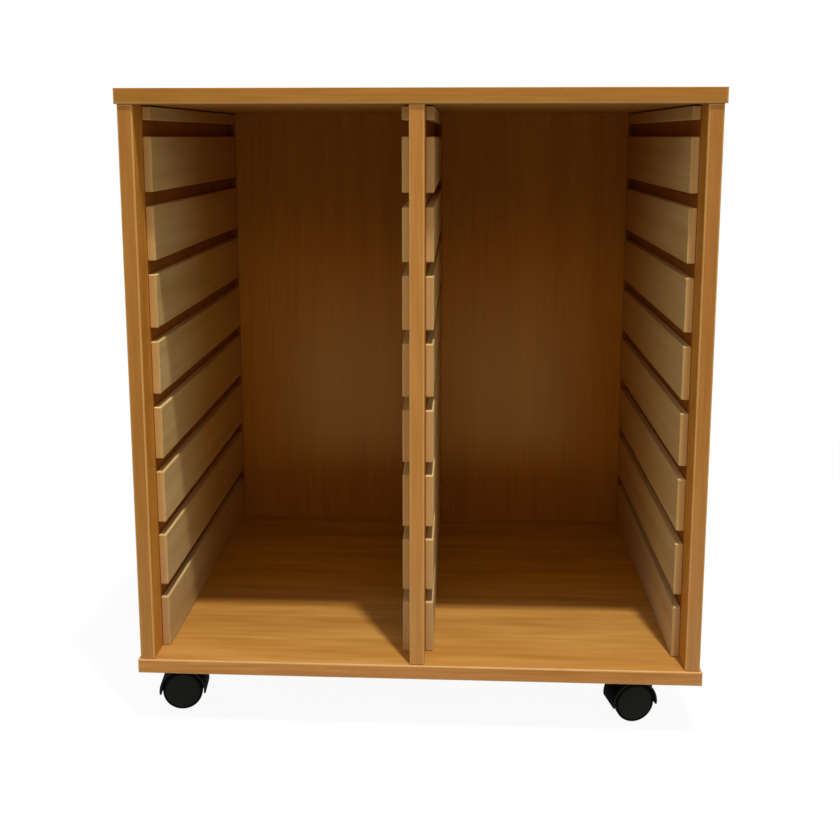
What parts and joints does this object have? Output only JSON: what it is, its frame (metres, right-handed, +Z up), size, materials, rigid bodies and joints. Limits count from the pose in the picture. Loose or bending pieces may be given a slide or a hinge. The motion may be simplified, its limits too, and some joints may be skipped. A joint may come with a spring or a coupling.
{
  "type": "classroom tray storage unit",
  "caption": "Open two-column storage cabinet in beech-faced board with pale runner strips for sliding trays, on swivel castors with twin hooded wheels.",
  "frame": {"origin": "on the floor under the middle of the unit's outline", "axes": "+X to the right seen from the open front, +Y to the back, +Z up"},
  "size_m": [0.692, 0.475, 0.7805],
  "materials": {
    "beech": "satin melamine, beech grain",
    "beech_back": "satin melamine, beech grain, upright",
    "runner": "pale birch, lacquered",
    "plate": "zinc plated",
    "hood": "black moulded nylon",
    "wheel": "black moulded nylon"
  },
  "bodies": {
    "carcass": {"base_panel": "beech", "top_panel": "beech", "left_side_panel": "beech", "right_side_panel": "beech", "centre_divider": "beech", "back_panel": "beech_back", "left_side_runner_1": "runner", "left_side_runner_2": "runner", "left_side_runner_3": "runner", "left_side_runner_4": "runner", "left_side_runner_5": "runner", "left_side_runner_6": "runner", "left_side_runner_7": "runner", "left_side_runner_8": "runner", "left_side_runner_9": "runner", "divider_left_runner_1": "runner", "divider_left_runner_2": "runner", "divider_left_runner_3": "runner", "divider_left_runner_4": "runner", "divider_left_runner_5": "runner", "divider_left_runner_6": "runner", "divider_left_runner_7": "runner", "divider_left_runner_8": "runner", "divider_left_runner_9": "runner", "divider_right_runner_1": "runner", "divider_right_runner_2": "runner", "divider_right_runner_3": "runner", "divider_right_runner_4": "runner", "divider_right_runner_5": "runner", "divider_right_runner_6": "runner", "divider_right_runner_7": "runner", "divider_right_runner_8": "runner", "divider_right_runner_9": "runner", "right_side_runner_1": "runner", "right_side_runner_2": "runner", "right_side_runner_3": "runner", "right_side_runner_4": "runner", "right_side_runner_5": "runner", "right_side_runner_6": "runner", "right_side_runner_7": "runner", "right_side_runner_8": "runner", "right_side_runner_9": "runner", "front_left_castor_plate": "plate", "front_right_castor_plate": "plate", "rear_left_castor_plate": "plate", "rear_right_castor_plate": "plate"},
    "front_left_castor_swivel": {"front_left_castor_hood": "hood"},
    "front_left_castor_wheel_a": {"front_left_castor_wheel_a": "wheel"},
    "front_left_castor_wheel_b": {"front_left_castor_wheel_b": "wheel"},
    "front_right_castor_swivel": {"front_right_castor_hood": "hood"},
    "front_right_castor_wheel_a": {"front_right_castor_wheel_a": "wheel"},
    "front_right_castor_wheel_b": {"front_right_castor_wheel_b": "wheel"},
    "rear_left_castor_swivel": {"rear_left_castor_hood": "hood"},
    "rear_left_castor_wheel_a": {"rear_left_castor_wheel_a": "wheel"},
    "rear_left_castor_wheel_b": {"rear_left_castor_wheel_b": "wheel"},
    "rear_right_castor_swivel": {"rear_right_castor_hood": "hood"},
    "rear_right_castor_wheel_a": {"rear_right_castor_wheel_a": "wheel"},
    "rear_right_castor_wheel_b": {"rear_right_castor_wheel_b": "wheel"}
  },
  "joints": [
    {"name": "front_left_castor_turn", "type": "hinge", "parent": "carcass", "child": "front_left_castor_swivel", "pos_m": [-0.285, -0.1885, 0.067], "axis": [0, 0, 1], "continuous": true},
    {"name": "front_left_castor_roll_a", "type": "hinge", "parent": "front_left_castor_swivel", "child": "front_left_castor_wheel_a", "pos_m": [-0.30239, -0.19048, 0.025], "axis": [0.1132, -0.9936, 0], "continuous": true},
    {"name": "front_left_castor_roll_b", "type": "hinge", "parent": "front_left_castor_swivel", "child": "front_left_castor_wheel_b", "pos_m": [-0.30239, -0.19048, 0.025], "axis": [0.1132, -0.9936, 0], "continuous": true},
    {"name": "front_right_castor_turn", "type": "hinge", "parent": "carcass", "child": "front_right_castor_swivel", "pos_m": [0.285, -0.1885, 0.067], "axis": [0, 0, 1], "continuous": true},
    {"name": "front_right_castor_roll_a", "type": "hinge", "parent": "front_right_castor_swivel", "child": "front_right_castor_wheel_a", "pos_m": [0.26798, -0.19259, 0.025], "axis": [0.2334, -0.9724, 0], "continuous": true},
    {"name": "front_right_castor_roll_b", "type": "hinge", "parent": "front_right_castor_swivel", "child": "front_right_castor_wheel_b", "pos_m": [0.26798, -0.19259, 0.025], "axis": [0.2334, -0.9724, 0], "continuous": true},
    {"name": "rear_left_castor_turn", "type": "hinge", "parent": "carcass", "child": "rear_left_castor_swivel", "pos_m": [-0.285, 0.1885, 0.067], "axis": [0, 0, 1], "continuous": true},
    {"name": "rear_left_castor_roll_a", "type": "hinge", "parent": "rear_left_castor_swivel", "child": "rear_left_castor_wheel_a", "pos_m": [-0.30198, 0.18427, 0.025], "axis": [0.2419, -0.9703, 0], "continuous": true},
    {"name": "rear_left_castor_roll_b", "type": "hinge", "parent": "rear_left_castor_swivel", "child": "rear_left_castor_wheel_b", "pos_m": [-0.30198, 0.18427, 0.025], "axis": [0.2419, -0.9703, 0], "continuous": true},
    {"name": "rear_right_castor_turn", "type": "hinge", "parent": "carcass", "child": "rear_right_castor_swivel", "pos_m": [0.285, 0.1885, 0.067], "axis": [0, 0, 1], "continuous": true},
    {"name": "rear_right_castor_roll_a", "type": "hinge", "parent": "rear_right_castor_swivel", "child": "rear_right_castor_wheel_a", "pos_m": [0.26757, 0.18698, 0.025], "axis": [0.0872, -0.9962, 0], "continuous": true},
    {"name": "rear_right_castor_roll_b", "type": "hinge", "parent": "rear_right_castor_swivel", "child": "rear_right_castor_wheel_b", "pos_m": [0.26757, 0.18698, 0.025], "axis": [0.0872, -0.9962, 0], "continuous": true}
  ]
}
